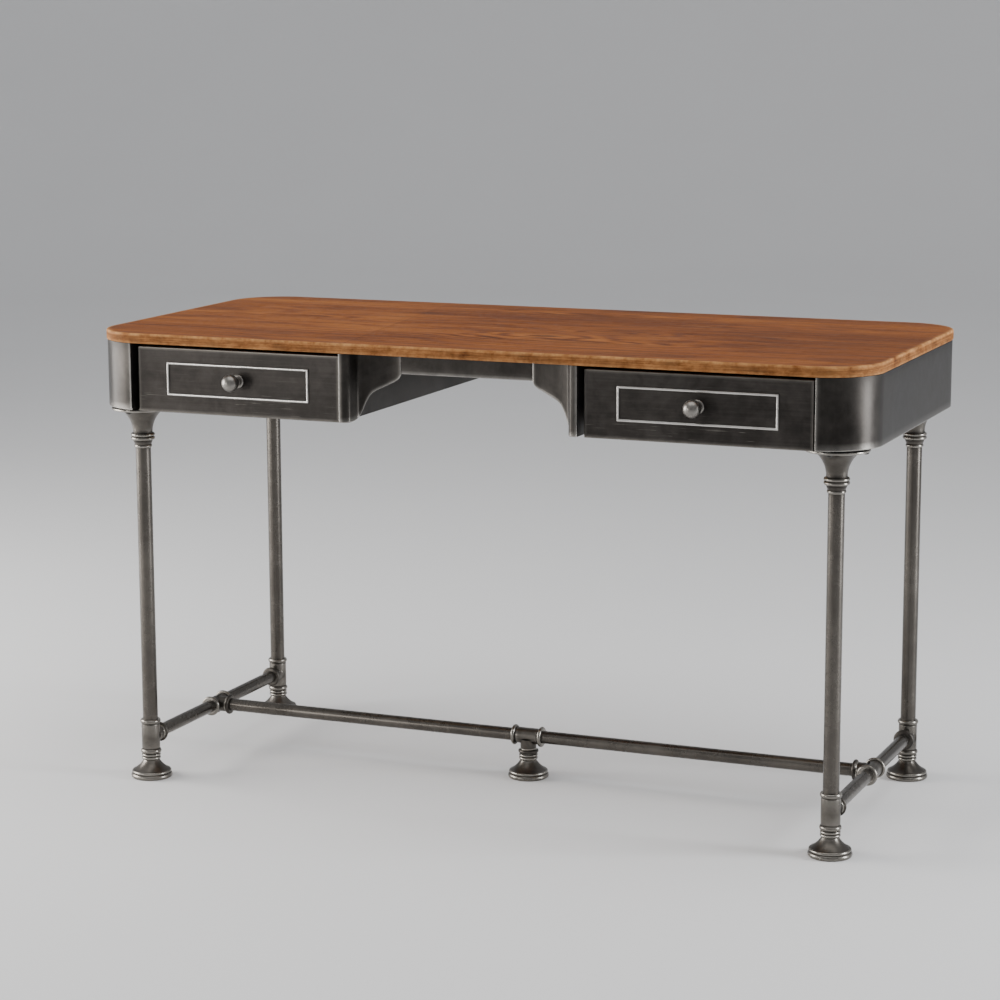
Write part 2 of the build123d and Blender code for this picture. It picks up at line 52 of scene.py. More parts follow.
SIDES = {"left": -1, "right": 1}
CORNERS = {"front_left": (-1, -1), "front_right": (1, -1), "back_left": (-1, 1), "back_right": (1, 1)}


# ------------------------------------------------------------------ places read from the frame
def span(node):
    """(lowest corner, highest corner) of a CAD node as numpy arrays."""
    low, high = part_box(node)
    return np.array(low), np.array(high)


def middle(node):
    low, high = span(node)
    return (low + high) / 2


TOP_LOW, TOP_HIGH = span("table_top")
SKIRT_LOW, SKIRT_HIGH = span("end_skirt_right")
SKIRT_END_X = SKIRT_HIGH[0]
RETURN_X = SKIRT_LOW[0]
FACE_Y = span("back_skirt")[1][1]
HOUSING_X = span("corbel_right")[1][0]
CORBEL_END_X = span("corbel_right")[0][0]
APRON_LOW, APRON_HIGH = span("front_apron")
APRON_Y = APRON_LOW[1]
LEG_X, LEG_Y = middle("leg_tube_back_right")[:2]
LEG_RADIUS = (span("leg_tube_back_right")[1][0] - span("leg_tube_back_right")[0][0]) / 2
RAIL_RADIUS = (span("long_stretcher_right")[1][2] - span("long_stretcher_right")[0][2]) / 2
RAIL_Z = middle("long_stretcher_right")[2]
FOOT_TOP = span("foot_centre")[1][2]
TEE_BOTTOM = span("leg_tee_back_right")[0][2]
TEE_RUN = span("leg_tee_back_right")[1][2] - RAIL_Z
SMALL_RUN = span("centre_tee")[1][0]
COLLAR_LOW, COLLAR_HIGH = span("leg_collar_back_right")
DRAWER_LOW, DRAWER_HIGH = span("drawer_right_front")
BEAD_LOW, BEAD_HIGH = span("drawer_right_bead_frame")

TOP_CORNER = 0.092
SKIRT_CORNER = TOP_CORNER - (TOP_HIGH[0] - SKIRT_END_X)
SHEET = 0.002
FIT = 0.0001
RAIL_WALL = 0.0015
LEG_WALL = 0.0016
TUBE_ROWS = 24
SMALL_RADIUS = 0.0135
LEG_TEE_RADIUS = 0.0153
TEE_RING = 17.2  # in millimetres, as the turned profiles are
TINY = 1e-9

# The corbel's lower edge: (share of the way from its foot to the knee space, share of the rise).
CORBEL_FOOT_X = 0.184
OGEE = ((1, 1), (0.955, 0.908), (0.865, 0.843), (0.72, 0.778), (0.58, 0.712), (0.45, 0.655), (0.345, 0.59),
        (0.28, 0.52), (0.205, 0.385), (0.155, 0.255), (0.10, 0.125), (0.05, 0.035), (0, 0), (-0.3, 0))


# ------------------------------------------------------------------ meshes from arrays
def quads(rows, columns, wrap_rows=False, wrap_columns=False):
    """Faces of a grid whose points are numbered row by row, closed round where asked."""
    row, column = np.meshgrid(
        np.arange(rows if wrap_rows else rows - 1),
        np.arange(columns if wrap_columns else columns - 1),
        indexing="ij",
    )
    next_row = (row + 1) % rows
    next_column = (column + 1) % columns
    corners = [row * columns + column, row * columns + next_column,
               next_row * columns + next_column, next_row * columns + column]
    return np.stack(corners, -1).reshape(-1, 4)


class Shell:
    """Grids of points gathered into one mesh, with a wear and a grime value at each point."""

    def __init__(self):
        self.points, self.faces, self.marks = [], [], []
        self.count = 0

    def add(self, grid, wear=0.0, grime=0.0, wrap_rows=False, wrap_columns=False):
        """Add a (rows, columns, 3) array of points."""
        rows, columns = grid.shape[:2]
        shape = (rows, columns)
        self.points.append(grid.reshape(-1, 3))
        marks = [np.broadcast_to(value, shape).reshape(-1) for value in (wear, grime)]
        self.marks.append(np.stack(marks, -1))
        self.faces.append(quads(rows, columns, wrap_rows, wrap_columns) + self.count)
        self.count += rows * columns
        return self

    def join(self, other):
        """Take in the grids of another shell."""
        self.points += other.points
        self.faces += [faces + self.count for faces in other.faces]
        self.marks += other.marks
        self.count += other.count

    def moved(self, matrix, shift=(0, 0, 0)):
        """The same shell, turned by a 3 x 3 matrix and then shifted."""
        self.points = [points @ np.array(matrix).T + np.array(shift) for points in self.points]
        return self

    def make(self, name, sharp=40.0):
        """A closed mesh object: doubles merged, faces outwards, smooth up to the sharp angle."""
        mesh = bpy.data.meshes.new(name)
        points, faces = np.concatenate(self.points), np.concatenate(self.faces)
        marks = np.concatenate(self.marks)
        mesh.from_pydata(points.tolist(), [], faces.tolist())
        for index, label in enumerate(("wear", "grime")):
            layer = mesh.attributes.new(label, "FLOAT", "POINT")
            layer.data.foreach_set("value", np.ascontiguousarray(marks[:, index], dtype=np.float32))
        work = bmesh.new()
        work.from_mesh(mesh)
        bmesh.ops.remove_doubles(work, verts=work.verts, dist=1e-6)
        bmesh.ops.dissolve_degenerate(work, edges=work.edges, dist=1e-7)
        bmesh.ops.recalc_face_normals(work, faces=work.faces)
        work.to_mesh(mesh)
        work.free()
        mesh.polygons.foreach_set("use_smooth", np.ones(len(mesh.polygons), dtype=bool))
        mesh.set_sharp_from_angle(angle=math.radians(sharp))
        piece = bpy.data.objects.new(name, mesh)
        bpy.context.scene.collection.objects.link(piece)
        return piece


def arc(start, through, end, steps=14):
    """Points of the circle through three points, from the first to the last, the first left out."""
    a, b, c = (complex(*point) for point in (start, through, end))
    w = (c - a) / (b - a)
    centre = a + (b - a) * (w - abs(w) ** 2) / (2j * w.imag)
    turn = np.angle((c - centre) / (a - centre))
    passed = np.angle((b - centre) / (a - centre))
    if turn * passed < 0 or abs(passed) > abs(turn):
        turn -= math.copysign(2 * math.pi, turn)
    points = centre + (a - centre) * np.exp(1j * turn * np.linspace(0, 1, steps + 1)[1:])
    return np.stack([points.real, points.imag], -1)


def profile(start, *moves, soften=0.35, turn=7.0, longest=30.0):
    """Half profile in metres from (radius, height) points in millimetres.

    A move is a point for a straight run, or a pair for an arc through the first point to the second.
    The line is resampled evenly, its corners are softened by a bell-shaped average, and points are
    then kept where the line has turned by another few degrees or run on far enough.
    """
    pieces = [np.array([start], float)]
    here = start
    for move in moves:
        if isinstance(move[0], tuple):
            pieces.append(arc(here, move[0], move[1]))
            here = move[1]
        else:
            pieces.append(np.array([move], float))
            here = move
    line = np.concatenate(pieces)
    step = 0.12
    run = np.concatenate([[0], np.cumsum(np.hypot(*np.diff(line, axis=0).T))])
    even = np.linspace(0, run[-1], max(int(run[-1] / step), 8))
    fine = np.stack([np.interp(even, run, line[:, axis]) for axis in (0, 1)], -1)
    if soften:
        reach = int(3 * soften / step)
        bell = np.exp(-0.5 * (np.arange(-reach, reach + 1) * step / soften) ** 2)
        before = 2 * fine[:1] - fine[reach:0:-1]
        after = 2 * fine[-1:] - fine[-2:-reach - 2:-1]
        padded = np.concatenate([before, fine, after])
        smooth = np.stack([np.convolve(padded[:, axis], bell / bell.sum(), "valid") for axis in (0, 1)], -1)
        smooth[[0, -1]] = fine[[0, -1]]
        fine = smooth
    way = np.diff(fine, axis=0)
    heading = np.unwrap(np.arctan2(way[:, 1], way[:, 0]))
    turned_by = np.abs(np.diff(heading, prepend=heading[0]))
    pace = np.cumsum(np.degrees(turned_by) / turn + step / longest)
    keep = np.flatnonzero(np.diff(np.floor(pace), prepend=-1))
    keep = np.unique(np.concatenate([keep, [len(fine) - 1]]))
    return fine[keep] * MM


def bulge(line, closed=False, reach=0.0022):
    """(wear, grime) along a profile: how far it stands proud of, or sinks below, its own average."""
    step, gain = 0.0003, 9
    gap = np.hypot(*np.diff(line, axis=0).T)
    run = np.concatenate([[0], np.cumsum(gap)])
    even = np.linspace(0, run[-1], max(int(run[-1] / step), 16))
    fine = np.stack([np.interp(even, run, line[:, axis]) for axis in (0, 1)], -1)
    half = max(int(reach / step), 2)
    kernel = np.hanning(2 * half + 3)[1:-1]
    edge = np.pad(fine, ((half, half), (0, 0)), mode="wrap" if closed else "edge")
    mean = np.stack([np.convolve(edge[:, axis], kernel / kernel.sum(), "valid") for axis in (0, 1)], -1)
    along = np.gradient(fine, axis=0)
    along /= np.maximum(np.hypot(*along.T)[:, None], TINY)
    proud = (fine - mean) @ np.array([[0, -1], [1, 0]])
    signed = np.sum(proud * along, axis=1) / reach * gain
    signed = np.interp(run, even, signed)
    return np.clip(signed, 0, 1), np.clip(-signed, 0, 1)


def turned(line, segments=64, closed=False):
    """Shell of a profile of (radius, height) turned about Z: x = r cos a, y = r sin a, z = h."""
    angle = np.linspace(0, 2 * np.pi, segments, endpoint=False)
    radius, height = line[:, 0][:, None], line[:, 1][:, None]
    rise = np.broadcast_to(height, (len(line), segments))
    grid = np.stack([radius * np.cos(angle), radius * np.sin(angle), rise], -1)
    wear, grime = bulge(line, closed)
    if outward_sign(line) > 0:
        wear, grime = grime, wear
    return Shell().add(grid, wear[:, None], grime[:, None], wrap_rows=closed, wrap_columns=True)


def outward_sign(line):
    """1 where a profile runs up the outside, -1 where it runs down it."""
    area = np.sum(line[:, 0] * np.roll(line[:, 1], -1) - np.roll(line[:, 0], -1) * line[:, 1])
    return 1 if area > 0 else -1


UPRIGHT = np.eye(3)
TURN_TO_X = np.array([[0, 0, 1], [0, 1, 0], [-1, 0, 0]])
TURN_TO_FRONT = np.array([[1, 0, 0], [0, 0, -1], [0, 1, 0]])
TURN_TO_BACK = np.array([[1, 0, 0], [0, 0, 1], [0, -1, 0]])


def about_z(degrees):
    """Matrix of a turn about Z."""
    c, s = math.cos(math.radians(degrees)), math.sin(math.radians(degrees))
    return np.array([[c, -s, 0], [s, c, 0], [0, 0, 1]])


def swell(a, b, sizes, seed):
    """Smooth pseudo-random field in -1..1: a sum of sines of two coordinates with seeded phases."""
    rng = np.random.default_rng(seed)
    total = np.zeros(np.broadcast(a, b).shape)
    for size in sizes:
        for _ in range(4):
            heading, phase = rng.uniform(0, 2 * np.pi, 2)
            pitch = 2 * np.pi / (size * rng.uniform(0.7, 1.4))
            total += np.sin((a * math.cos(heading) + b * math.sin(heading)) * pitch + phase)
    return total / (4 * len(sizes))


# ------------------------------------------------------------------ shader helpers
class Value:
    """A shader socket in Python arithmetic: each operator adds one Math node."""

    def __init__(self, finish, socket):
        self.finish, self.socket = finish, socket

    def math(self, operation, first, second=None, clamp=False):
        settings = {"operation": operation, "use_clamp": clamp}
        inputs = {0: first} if second is None else {0: first, 1: second}
        return self.finish.node("ShaderNodeMath", settings, inputs)

    def __add__(self, other):
        return self.math("ADD", self, other)

    __radd__ = __add__

    def __mul__(self, other):
        return self.math("MULTIPLY", self, other)

    __rmul__ = __mul__

    def __sub__(self, other):
        return self.math("SUBTRACT", self, other)

    def __rsub__(self, other):
        return self.math("SUBTRACT", other, self)

    def __pow__(self, other):
        return self.math("POWER", self, other)

    def clamped(self):
        return self.math("MULTIPLY", self, 1.0, clamp=True)

    def wave(self):
        return self.math("SINE", self)

    def exp(self):
        return self.math("EXPONENT", self)

    def size(self):
        return self.math("ABSOLUTE", self)


class Finish:
    """One material: a Principled shader, and one method that adds any other node."""

    def __init__(self, name, **constants):
        self.material = bpy.data.materials.new(name)
        self.material.use_nodes = True
        self.tree = self.material.node_tree
        self.shader = self.tree.nodes["Principled BSDF"]
        for label, value in constants.items():
            self.shader.inputs[label.replace("_", " ")].default_value = value
        self.here = self.node("ShaderNodeTexCoord", {}, {}, "Object")

    def node(self, kind, settings, inputs, output=0):
        """Add a node: its settings first, then the values or links of its sockets."""
        made = self.tree.nodes.new(kind)
        for label, value in settings.items():
            if label == "stops":
                ramp = made.color_ramp
                while len(ramp.elements) < len(value):
                    ramp.elements.new(1.0)
                for element, (position, colour) in zip(ramp.elements, value):
                    element.position, element.color = position, (*colour, 1.0)
            else:
                setattr(made, label, value)
        for label, value in inputs.items():
            if isinstance(value, Value):
                self.tree.links.new(value.socket, made.inputs[label])
            else:
                made.inputs[label].default_value = value
        return Value(self, made.outputs[output])

    def noise(self, scale, detail, roughness, distortion=0.0, shift=(0, 0, 0)):
        """Fractal noise on stretched and shifted object coordinates, about 0 to 1."""
        place = self.node("ShaderNodeMapping", {}, {"Vector": self.here, "Location": shift, "Scale": scale})
        return self.node("ShaderNodeTexNoise", {}, {
            "Vector": place, "Scale": 1.0, "Detail": detail,
            "Roughness": roughness, "Distortion": distortion})

    def mark(self, label):
        """A piece's own wear value, or its grime value: grime and patina in some places, painted shade in
        others.
        """
        return self.node("ShaderNodeAttribute", {"attribute_name": label}, {}, "Fac")

    def ramp(self, value, *stops):
        """Colour of a value between (position, colour) stops."""
        return self.node("ShaderNodeValToRGB", {"stops": stops}, {"Fac": value})

    def step(self, value, low, high):
        """0 below low, 1 above high, smooth between."""
        return self.node("ShaderNodeMapRange", {"interpolation_type": "SMOOTHSTEP"}, {
            "Value": value, "From Min": low, "From Max": high})

    def blend(self, amount, first, second):
        """Two colours mixed by an amount."""
        first, second = ((*c, 1.0) if isinstance(c, tuple) else c for c in (first, second))
        settings = {"data_type": "RGBA", "blend_type": "MIX", "clamp_factor": True}
        return self.node("ShaderNodeMix", settings, {0: amount, 6: first, 7: second}, 2)

    def axes(self):
        """The three object coordinates as values."""
        return [self.node("ShaderNodeSeparateXYZ", {}, {"Vector": self.here}, axis) for axis in "XYZ"]

    def bump(self, height, distance):
        """Feed a height to the shader's normal, as a relief of that many metres for a height of 1."""
        made = self.node("ShaderNodeBump", {}, {"Height": height, "Distance": distance, "Strength": 1.0})
        self.feed("Normal", made)

    def feed(self, label, value):
        self.tree.links.new(value.socket, self.shader.inputs[label])


def rubbed_metal(name, tones, grain, rough, streaks, scratch=0.0, depth=0.00005, metallic=0.9):
    """Patinated metal: clouds of tone, fine streaks along the grain, scratches, and rubbed edges.

    grain gives how many streak cells lie in a metre along each axis, scratch how strong the nicks are
    near a sheet's lower edge.
    """
    dark, mild, bright = tones
    f = Finish(name, Metallic=metallic)
    clouds = f.noise((7, 7, 7), 5, 0.62, 0.8)
    mottle = f.noise((48, 48, 48), 5, 0.68, 0.4)
    lines = f.noise(grain, 6, 0.72)
    grit = f.noise((380, 380, 380), 2, 0.5)
    wear = (f.mark("wear") * (0.45 + mottle)).clamped()
    grime = f.mark("grime").clamped()
    tone = (clouds * 0.62 + mottle * 0.30 + (lines - 0.5) * streaks * 0.55).clamped()
    base = f.blend(f.step(tone, 0.26, 0.72), dark, mild)
    if scratch:
        height = f.axes()[2]
        nicks = f.step(f.noise((16, 16, 720), 2, 0.5, 0.5, (3.1, 1.7, 0.4)), 0.64, 0.70)
        patch = f.step(f.noise((11, 11, 22), 3, 0.6, 0.2, (7, 3, 1)), 0.44, 0.62)
        low = 1.0 - f.step(height, SKIRT_LOW[2] + 0.012, SKIRT_LOW[2] + 0.050) * 0.85
        base = f.blend(nicks * patch * low * scratch, base, bright)
    base = f.blend(wear * 0.92, base, bright)
    # Darkened by the grime mark. This is patina in the hollows of turned castings and at pipe joints. It is
    # painted shade on the sheets' tops under the board, on the drawer board's edges and at the bead's foot.
    base = f.blend(grime * 0.78, base, tuple(channel * 0.28 for channel in dark))
    f.feed("Base Color", base)
    roughness = (rough + (clouds - 0.5) * 0.16 + (mottle - 0.5) * 0.14 + (lines - 0.5) * 0.16 * streaks
                 + grime * 0.25 - wear * 0.10)
    f.feed("Roughness", roughness.clamped())
    f.bump(lines * (0.6 * streaks + 0.05) + mottle * 0.22 + grit * 0.08, depth)
    return f


# Tones of each metal: in its hollows, on its open faces, and where it is rubbed bright.
GUNMETAL = ((0.020, 0.018, 0.0162), (0.058, 0.0525, 0.0475), (0.42, 0.40, 0.37))
BRUSHED_STEEL = ((0.019, 0.0168, 0.0152), (0.058, 0.052, 0.0475), (0.30, 0.28, 0.25))
BARE_STEEL = ((0.24, 0.23, 0.215), (0.48, 0.465, 0.44), (0.70, 0.68, 0.65))
KNOB_PEWTER = ((0.19, 0.179, 0.164), (0.25, 0.237, 0.218), (0.26, 0.247, 0.228))
PIPE_PEWTER = ((0.070, 0.063, 0.0555), (0.132, 0.120, 0.106), (0.46, 0.43, 0.39))
CAST_METAL = ((0.056, 0.050, 0.044), (0.162, 0.149, 0.132), (0.37, 0.35, 0.315))
OILED_SHEET = ((0.026, 0.0238, 0.0215), (0.080, 0.073, 0.067), (0.30, 0.28, 0.26))

# Knots of the board: place along X and Y, half length and half width.
KNOTS = ((0.013, -0.144, 0.080, 0.022), (0.070, -0.093, 0.060, 0.018), (0.191, -0.145, 0.070, 0.018),
         (0.045, 0.201, 0.095, 0.026), (0.153, -0.018, 0.050, 0.014), (-0.42, 0.03, 0.070, 0.014))
SEAM_SLOPE = 0.124
SEAM_SHIFT = 0.230


def stained_wood():
    """Stained board: flat-sawn figure along X, fibre streaks, pores, knots, scratches and a worn rim."""
    f = Finish("stained_wood", Specular_IOR_Level=0.09)
    x, y = f.axes()[:2]
    drift, ripple = f.noise((1.1, 6, 6), 3, 0.5, 0.8), f.noise((4, 26, 26), 3, 0.6)
    phase = y * 22.0 + (drift - 0.5) * 6.5 + (ripple - 0.5) * 1.5
    eye, swirl = 0.0, 0.0
    for knot_x, knot_y, long, wide in KNOTS:
        a, b = (x - knot_x) * (1 / long), (y - knot_y) * (1 / wide)
        away = (a * a + b * b) ** 0.5
        bell = (away * away * -0.40).exp()
        phase = phase + bell * 2.1
        swirl = bell + swirl
        eye = (away * away * -3.0).exp() + eye
    rings = (phase * 6.2832).wave() * 0.5 + 0.5
    late = rings ** 2.5
    fibre = f.noise((9, 420, 420), 5, 0.68)
    streak = f.noise((3.0, 110, 110), 5, 0.66, 0.5)
    broad = f.noise((1.0, 6.0, 6.0), 3, 0.55, 0.8)
    pores = f.step(f.noise((38, 900, 900), 2, 0.5), 0.58, 0.70)
    seam_x = x + y * SEAM_SLOPE + SEAM_SHIFT
    sheets = f.step(seam_x, -0.001, 0.001)
    seam = (1.0 - f.step(seam_x.size(), 0.0003, 0.0016)) * 0.40
    tone = (broad * 0.62 + streak * 0.66 + fibre * 0.50 - late * 0.17 - (rings - 0.42) * swirl * 0.30
            - eye * 0.16 - sheets * 0.055 - 0.24).clamped()
    base = f.ramp(tone, (0.16, (0.040, 0.0098, 0.0022)), (0.38, (0.122, 0.0325, 0.0062)),
                  (0.58, (0.218, 0.0650, 0.0130)), (0.84, (0.370, 0.1320, 0.0310)))
    base = f.blend(pores * 0.46 + seam, base, (0.050, 0.014, 0.004))
    scratch = f.step(f.noise((6, 260, 260), 1, 0.4, 0.2, (5, 2, 1)), 0.69, 0.725)
    scratch = scratch * f.step(f.noise((2, 3, 3), 2, 0.5), 0.48, 0.60)
    base = f.blend(scratch * 0.55, base, (0.56, 0.27, 0.10))
    # On the board this mark picks out the edge band, which takes the rough edge colour.
    side = f.mark("grime")
    layers = f.noise((7, 7, 620), 4, 0.66)
    edge_tone = layers * 0.75 + fibre * 0.15 + f.noise((34, 34, 80), 5, 0.7) * 0.75 - 0.30
    rough_edge = f.ramp(edge_tone, (0.34, (0.042, 0.013, 0.004)), (0.54, (0.170, 0.060, 0.017)),
                        (0.78, (0.440, 0.205, 0.075)))
    base = f.blend(side * 0.92, base, rough_edge)
    wear = (f.mark("wear") * (f.noise((30, 30, 30), 5, 0.75) * 3.4 - 1.1)).clamped()
    base = f.blend(wear * 0.8, base, (0.56, 0.29, 0.115))
    f.feed("Base Color", base)
    roughness = 0.44 + fibre * 0.16 + broad * 0.10 + side * 0.20 + pores * 0.2 - late * 0.05
    f.feed("Roughness", roughness.clamped())
    f.bump(fibre * 0.6 + streak * 0.3 - pores * 0.7 + late * 0.12 + side * layers * 1.1, 0.00022)
    return f


def plywood():
    """Plain drawer-box plywood: pale fibre and broad soft bands, both drawn out along Y."""
    f = Finish("drawer_plywood", Roughness=0.6)
    fibre = f.noise((60, 7, 300), 4, 0.6)
    broad = f.noise((9, 1.5, 9), 3, 0.5, 0.7)
    base = f.ramp(fibre * 0.4 + broad * 0.7, (0.3, (0.26, 0.165, 0.09)), (0.75, (0.46, 0.32, 0.19)))
    f.feed("Base Color", base)
    f.feed("Roughness", 0.5 + fibre * 0.25)
    f.bump(fibre, 0.0001)
    return f


def zinc(name, colour, rough):
    """Plain plated steel for slides and screws: soft blotches and faint draw lines."""
    f = Finish(name, Metallic=0.85)
    blotch = f.noise((60, 60, 60), 4, 0.6)
    lines = f.noise((900, 12, 900), 2, 0.5)
    f.feed("Base Color", f.blend(blotch * 0.9, colour, tuple(c * 0.55 for c in colour)))
    f.feed("Roughness", rough + (blotch - 0.5) * 0.3 + (lines - 0.5) * 0.15)
    f.bump(lines, 0.00003)
    return f


FINISHES = {
    "wood_top": stained_wood(),
    "skirt": rubbed_metal("gunmetal_skirt", GUNMETAL, (120, 120, 12), rough=0.33, streaks=0.25),
    "drawer_face": rubbed_metal("brushed_drawer", BRUSHED_STEEL, (5, 40, 260), rough=0.38, streaks=0.45,
                                scratch=0.55, depth=0.00006, metallic=0.85),
    "bead": rubbed_metal("rubbed_bead", BARE_STEEL, (80, 80, 80), rough=0.30, streaks=0.3),
    "knob": rubbed_metal("pewter_knob", KNOB_PEWTER, (60, 60, 60), rough=0.34, streaks=0.1),
    "pipe": rubbed_metal("satin_pipe", PIPE_PEWTER, (220, 220, 9), rough=0.27, streaks=0.3),
    "fitting": rubbed_metal("cast_fitting", CAST_METAL, (60, 60, 60), rough=0.31, streaks=0.2, depth=0.0001),
    "frame_sheet": rubbed_metal("oiled_frame_sheet", OILED_SHEET, (40, 40, 40), rough=0.42, streaks=0.3),
    "drawer_box": plywood(),
    "slides": zinc("slide_zinc", (0.44, 0.43, 0.41), 0.38),
    "screws": zinc("black_screw", (0.06, 0.058, 0.055), 0.42),
}


# ------------------------------------------------------------------ sheets and boards
def corner_box(length, depth, radius, inset, corner_steps=14, side_step=0.02):
    """Outline of a rounded rectangle set in by a distance: four quarter circles joined by straight sides.

    The count of points doesn't depend on the inset, so outlines at different insets join row to row.
    """
    angle = np.linspace(0, np.pi / 2, corner_steps + 1)
    left = max(radius - inset, 0.0)
    half = np.array([length, depth]) / 2 - inset - left
    points = []
    for index, (sx, sy) in enumerate(((1, 1), (-1, 1), (-1, -1), (1, -1))):
        a = angle + index * np.pi / 2
        points.append(np.stack([sx * half[0] + left * np.cos(a), sy * half[1] + left * np.sin(a)], -1))
        side = depth if index % 2 else length
        count = max(int((side - 2 * radius) / side_step), 2)
        following = np.roll([(1, 1), (-1, 1), (-1, -1), (1, -1)], -1, axis=0)[index] * half
        turn = (index + 1) * np.pi / 2
        begin, end = points[-1][-1], following + left * np.array([np.cos(turn), np.sin(turn)])
        share = np.linspace(0, 1, count + 1)[1:-1, None]
        points.append(begin + (end - begin) * share)
    return np.concatenate(points)


def slab(length, depth, radius, rows, closed=False, dents=None, **steps):
    """Shell whose rows are outlines: each row is (inset, height, share of full size, wear, grime).

    Dents, (depth, sizes), pull an outline in by up to that depth where its row is worn.
    """
    grids, wear, grime = [], [], []
    for inset, height, share, worn, dirt_and_shade in rows:
        outline = corner_box(length, depth, radius, inset, **steps)
        if dents is not None:
            pull = dents[0] * (0.5 + 0.5 * swell(outline[:, 0], outline[:, 1], dents[1], 5)) * worn
            outline = outline * (1 - (pull / np.hypot(*outline.T))[:, None])
        grids.append(np.concatenate([outline * share, np.full((len(outline), 1), height)], -1))
        wear.append(worn)
        grime.append(dirt_and_shade)
    wear, grime = np.array(wear, float)[:, None], np.array(grime, float)[:, None]
    return Shell().add(np.stack(grids), wear, grime, wrap_rows=closed, wrap_columns=True)


def rounding(inset, height, radius, start, end, wear, grime, steps=5):
    """Rows of a rounded edge, a from start to end in degrees:

    inset = i + r (1 - cos a), height = h + r sin a.
    """
    angles = np.radians(np.linspace(start, end, steps))
    return [(inset + radius * (1 - math.cos(a)), height + radius * math.sin(a), 1.0, wear, grime)
            for a in angles]


def table_top():
    """Board with a pole at the middle of each face, softly worn edges and small dents on its rim."""
    low, high = TOP_LOW[2], TOP_HIGH[2]
    rows = [(0, low, share, 0.0, 0.0) for share in (0.0, 0.25, 0.5, 0.75, 0.92)]
    rows += rounding(0, low + 0.0016, 0.0016, -90, 0, 0.7, 0.8)
    rows += [(0, low + share * (high - low), 1.0, 0.25, 1.0) for share in (0.3, 0.5, 0.7)]
    rows += rounding(0, high - 0.0022, 0.0022, 0, 90, 1.0, 0.55, 7)
    rows += [(0.0045, high, 1.0, 0.35, 0.0), (0.009, high, 1.0, 0.0, 0.0)]
    rows += [(0.009, high, share, 0.0, 0.0) for share in (0.92, 0.75, 0.5, 0.25, 0.0)]
    size = TOP_HIGH - TOP_LOW
    return slab(size[0], size[1], TOP_CORNER, rows, dents=(0.0007, (0.03, 0.08, 0.2)))


def strip(path, section, low, high, waves, seed):
    """Sheet along a path in plan: point = p(s) + n(s) d + up z.

    The section is (depth behind the face, share of the height, extra height); z runs from low(s) to
    high by that share. The sheet waves gently inwards, and at its ends the thickness rounds off.
    """
    ease = np.array([0.0, 0.12, 0.4, 0.9]) * MM
    run = np.concatenate([[0], np.cumsum(np.hypot(*np.diff(path, axis=0).T))])
    places = np.unique(np.concatenate([run, ease, run[-1] - ease]))
    line = np.stack([np.interp(places, run, path[:, axis]) for axis in (0, 1)], -1)
    along = np.gradient(line, places, axis=0)
    along /= np.hypot(*along.T)[:, None]
    inward = np.stack([-along[:, 1], along[:, 0]], -1)
    edge = np.minimum(places, run[-1] - places)
    squeeze = np.sqrt(np.clip(1 - (1 - np.clip(edge / ease[-1], 0, 1)) ** 2, 0, 1))
    depth, share, extra = (np.array(column) for column in zip(*section))
    bottom = np.interp(places, run, low) if np.ndim(low) else np.full(len(places), low)
    height = bottom[:, None] * (1 - share) + high * share + extra
    thick = SHEET / 2 + (depth - SHEET / 2) * squeeze[:, None]
    calm = np.clip(edge / 0.02, 0, 1)[:, None] * np.clip((high - height) / 0.02, 0, 1)
    thick = thick + waves * calm * (0.5 + 0.5 * swell(places[:, None], height, (0.05, 0.12, 0.3), seed))
    grid = np.concatenate([line[:, None, :] + inward[:, None, :] * thick[..., None], height[..., None]], -1)
    # Painted shade: each sheet darkens over the last few millimetres below its top, under the board. The
    # lower edge and the two ends are marked as rubbed wear.
    wear_fall, painted_shade_fall = 0.0016, 0.008
    worn = np.exp(-(height - bottom[:, None]) / wear_fall) + np.exp(-edge / wear_fall)[:, None]
    dirt_and_shade = 0.45 * np.exp(-(high - height) / painted_shade_fall)
    return Shell().add(grid, np.clip(worn, 0, 1), dirt_and_shade, wrap_columns=True)


def sheet_section(rows=12, radius=0.0008):
    """Closed section of a flat sheet with rounded lower and upper edges, (depth, share, extra height)."""
    angle = np.radians(np.array([-90, -60, -30, 0]))
    front = [(radius * (1 - math.cos(a)), 0.0, radius * (1 + math.sin(a))) for a in angle]
    front += [(0.0, share, 0.0) for share in np.linspace(0.02, 0.98, rows)]
    front += [(radius * (1 - math.cos(a)), 1.0, -radius * (1 + math.sin(a))) for a in angle[::-1]]
    back = [(SHEET - depth, share, extra) for depth, share, extra in front[::-1]]
    return front + back


def bend(centre, radius, start, end, steps=22):
    """Points of an arc in plan between two angles in degrees."""
    a = np.radians(np.linspace(start, end, steps))
    return np.stack([centre[0] + radius * np.cos(a), centre[1] + radius * np.sin(a)], -1)


def straight(start, end, step):
    """Points of a straight run in plan, about a step apart."""
    count = max(int(math.dist(start, end) / step), 2)
    return np.array(start) + (np.array(end) - np.array(start)) * np.linspace(0, 1, count)[:, None]


def joined(*lines):
    """Lines laid end to end, with repeated points left out."""
    line = np.concatenate(lines)
    keep = np.concatenate([[True], np.hypot(*np.diff(line, axis=0).T) > 1e-6])
    return line[keep]


def end_skirt():
    """Right-hand end: front return, rounded corner, end, rounded corner and back return."""
    x, y = SKIRT_END_X - SKIRT_CORNER, FACE_Y - SKIRT_CORNER
    start = 90 - math.degrees(math.asin((RETURN_X - x) / SKIRT_CORNER))
    path = joined(
        bend((x, -y), SKIRT_CORNER, -start, 0, 30),
        straight((SKIRT_END_X, -y), (SKIRT_END_X, y), 0.012),
        bend((x, y), SKIRT_CORNER, 0, start, 30),
    )
    return strip(path, sheet_section(), SKIRT_LOW[2], SKIRT_HIGH[2], 0.00022, 3)


def back_skirt():
    """Flat sheet between the two end skirts' back returns."""
    low, high = span("back_skirt")
    path = straight((high[0], FACE_Y), (low[0], FACE_Y), 0.012)
    return strip(path, sheet_section(), low[2], high[2], 0.00022, 8)


